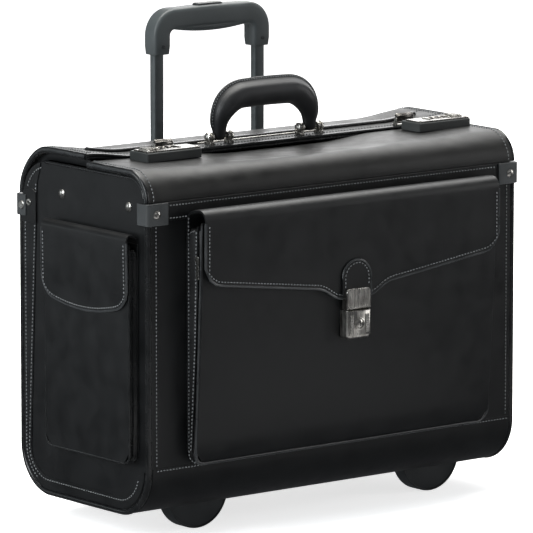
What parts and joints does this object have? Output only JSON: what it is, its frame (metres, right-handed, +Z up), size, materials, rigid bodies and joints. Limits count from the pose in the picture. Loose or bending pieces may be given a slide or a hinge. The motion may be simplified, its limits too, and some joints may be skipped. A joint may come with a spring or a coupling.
{
  "type": "pilot rolling flight case",
  "caption": "Black leather rolling pilot case with top lids, a flap pocket in front, end pockets, combination locks, a carry handle and a telescopic trolley.",
  "frame": {"origin": "middle of the whole object's footprint, on the ground", "axes": "+X along the case's length, -Y towards the front pocket, +Z up"},
  "size_m": [0.4876, 0.2726, 0.486],
  "materials": {
    "black_leather": "smooth, semi-gloss",
    "grey_lining": "matt cloth",
    "black_plastic": "fine texture",
    "wheel_rubber": "matt",
    "aged_nickel": "gunmetal, worn bright at edges",
    "black_tube": "satin black"
  },
  "bodies": {
    "case": {"shell_wrap": "black_leather", "end_panel_left": "black_leather", "end_panel_right": "black_leather", "base_board": "grey_lining", "inner_divider": "grey_lining", "mouth_frame_left": "aged_nickel", "mouth_frame_right": "aged_nickel", "front_clip_left": "black_plastic", "front_clip_right": "black_plastic", "back_clip_left": "black_plastic", "back_clip_right": "black_plastic", "front_hinge_strip": "black_leather", "back_hinge_strip": "black_leather", "edge_piping_left": "black_leather", "edge_piping_right": "black_leather", "front_pocket": "black_leather", "push_lock_body": "aged_nickel", "side_pocket_left": "black_leather", "side_pocket_right": "black_leather", "stand_foot_left": "black_plastic", "stand_foot_right": "black_plastic", "wheel_housing_left": "black_plastic", "wheel_housing_right": "black_plastic", "trolley_housing": "black_plastic", "trolley_outer_tube_left": "black_tube", "trolley_outer_tube_right": "black_tube"},
    "front_pocket_flap": {"front_pocket_flap": "black_leather", "push_lock_hasp": "aged_nickel"},
    "push_lock_button": {"push_lock_button": "aged_nickel"},
    "zip_puller": {"zip_puller": "aged_nickel"},
    "trolley_lower_stage": {"trolley_middle_tube_left": "black_tube", "trolley_middle_tube_right": "black_tube"},
    "trolley_upper_stage": {"trolley_inner_tube_left": "black_tube", "trolley_inner_tube_right": "black_tube", "trolley_grip": "black_plastic"},
    "trolley_button": {"trolley_button": "black_plastic"},
    "front_lid": {"front_lid": "black_leather", "lock_base_left": "black_plastic", "lock_base_right": "black_plastic"},
    "back_lid": {"back_lid": "black_leather", "handle_rail": "aged_nickel", "handle_bracket_left": "aged_nickel", "handle_bracket_right": "aged_nickel"},
    "carry_handle": {"carry_handle": "black_leather"},
    "side_pocket_flap_left": {"side_pocket_flap_left": "black_leather"},
    "dial_left_1": {"dial_left_1": "aged_nickel"},
    "dial_left_2": {"dial_left_2": "aged_nickel"},
    "dial_left_3": {"dial_left_3": "aged_nickel"},
    "lock_button_left": {"lock_button_left": "aged_nickel"},
    "hasp_left": {"hasp_left": "aged_nickel"},
    "wheel_left": {"wheel_hub_left": "black_plastic", "wheel_tyre_left": "wheel_rubber"},
    "side_pocket_flap_right": {"side_pocket_flap_right": "black_leather"},
    "dial_right_1": {"dial_right_1": "aged_nickel"},
    "dial_right_2": {"dial_right_2": "aged_nickel"},
    "dial_right_3": {"dial_right_3": "aged_nickel"},
    "lock_button_right": {"lock_button_right": "aged_nickel"},
    "hasp_right": {"hasp_right": "aged_nickel"},
    "wheel_right": {"wheel_hub_right": "black_plastic", "wheel_tyre_right": "wheel_rubber"}
  },
  "joints": [
    {"name": "front_lid_hinge", "type": "hinge", "parent": "case", "child": "front_lid", "pos_m": [0, -0.0999, 0.3315], "axis": [1, 0, 0], "range_deg": [0, 100]},
    {"name": "back_lid_hinge", "type": "hinge", "parent": "case", "child": "back_lid", "pos_m": [0, 0.1095, 0.3185], "axis": [-1, 0, 0], "range_deg": [0, 26]},
    {"name": "carry_handle_fold", "type": "hinge", "parent": "back_lid", "child": "carry_handle", "pos_m": [0, 0.0128, 0.3689], "axis": [1, 0, 0], "range_deg": [-74, 74]},
    {"name": "front_pocket_flap_hinge", "type": "hinge", "parent": "case", "child": "front_pocket_flap", "pos_m": [0, -0.1002, 0.3235], "axis": [1, 0, 0], "range_deg": [-88, 0]},
    {"name": "push_lock_press", "type": "slide", "parent": "case", "child": "push_lock_button", "axis": [0, 1, 0], "range_m": [0, 0.002], "stiffness_N_per_m": 300},
    {"name": "zip_slide", "type": "slide", "parent": "case", "child": "zip_puller", "axis": [0, 0, -1], "range_m": [0, 0.16]},
    {"name": "trolley_lower_slide", "type": "slide", "parent": "case", "child": "trolley_lower_stage", "axis": [0, 0, 1], "range_m": [0, 0.24]},
    {"name": "trolley_upper_slide", "type": "slide", "parent": "trolley_lower_stage", "child": "trolley_upper_stage", "axis": [0, 0, 1], "range_m": [-0.12, 0.12]},
    {"name": "trolley_button_press", "type": "slide", "parent": "trolley_upper_stage", "child": "trolley_button", "axis": [0, 0, -1], "range_m": [0, 0.003], "stiffness_N_per_m": 400},
    {"name": "side_pocket_flap_left_hinge", "type": "hinge", "parent": "case", "child": "side_pocket_flap_left", "pos_m": [-0.2311, -0.0162, 0.301], "axis": [0, 1, 0], "range_deg": [0, 88]},
    {"name": "dial_left_1_turn", "type": "hinge", "parent": "front_lid", "child": "dial_left_1", "pos_m": [-0.1575, -0.0237, 0.3663], "axis": [1, 0, 0], "continuous": true},
    {"name": "dial_left_2_turn", "type": "hinge", "parent": "front_lid", "child": "dial_left_2", "pos_m": [-0.15, -0.0237, 0.3663], "axis": [1, 0, 0], "continuous": true},
    {"name": "dial_left_3_turn", "type": "hinge", "parent": "front_lid", "child": "dial_left_3", "pos_m": [-0.1425, -0.0237, 0.3663], "axis": [1, 0, 0], "continuous": true},
    {"name": "lock_button_left_slide", "type": "slide", "parent": "front_lid", "child": "lock_button_left", "axis": [-1, 0, 0], "range_m": [0, 0.004], "stiffness_N_per_m": 200},
    {"name": "hasp_left_fold", "type": "hinge", "parent": "back_lid", "child": "hasp_left", "pos_m": [-0.132, 0.0038, 0.3643], "axis": [1, 0, 0], "range_deg": [0, 88]},
    {"name": "wheel_left_roll", "type": "hinge", "parent": "case", "child": "wheel_left", "pos_m": [-0.15, 0.0948, 0.027], "axis": [1, 0, 0], "continuous": true},
    {"name": "side_pocket_flap_right_hinge", "type": "hinge", "parent": "case", "child": "side_pocket_flap_right", "pos_m": [0.2311, 0.0258, 0.301], "axis": [0, -1, 0], "range_deg": [0, 88]},
    {"name": "dial_right_1_turn", "type": "hinge", "parent": "front_lid", "child": "dial_right_1", "pos_m": [0.182, -0.0237, 0.3663], "axis": [1, 0, 0], "continuous": true},
    {"name": "dial_right_2_turn", "type": "hinge", "parent": "front_lid", "child": "dial_right_2", "pos_m": [0.1895, -0.0237, 0.3663], "axis": [1, 0, 0], "continuous": true},
    {"name": "dial_right_3_turn", "type": "hinge", "parent": "front_lid", "child": "dial_right_3", "pos_m": [0.197, -0.0237, 0.3663], "axis": [1, 0, 0], "continuous": true},
    {"name": "lock_button_right_slide", "type": "slide", "parent": "front_lid", "child": "lock_button_right", "axis": [1, 0, 0], "range_m": [0, 0.004], "stiffness_N_per_m": 200},
    {"name": "hasp_right_fold", "type": "hinge", "parent": "back_lid", "child": "hasp_right", "pos_m": [0.1715, 0.0038, 0.3643], "axis": [1, 0, 0], "range_deg": [0, 88]},
    {"name": "wheel_right_roll", "type": "hinge", "parent": "case", "child": "wheel_right", "pos_m": [0.15, 0.0948, 0.027], "axis": [1, 0, 0], "continuous": true}
  ]
}
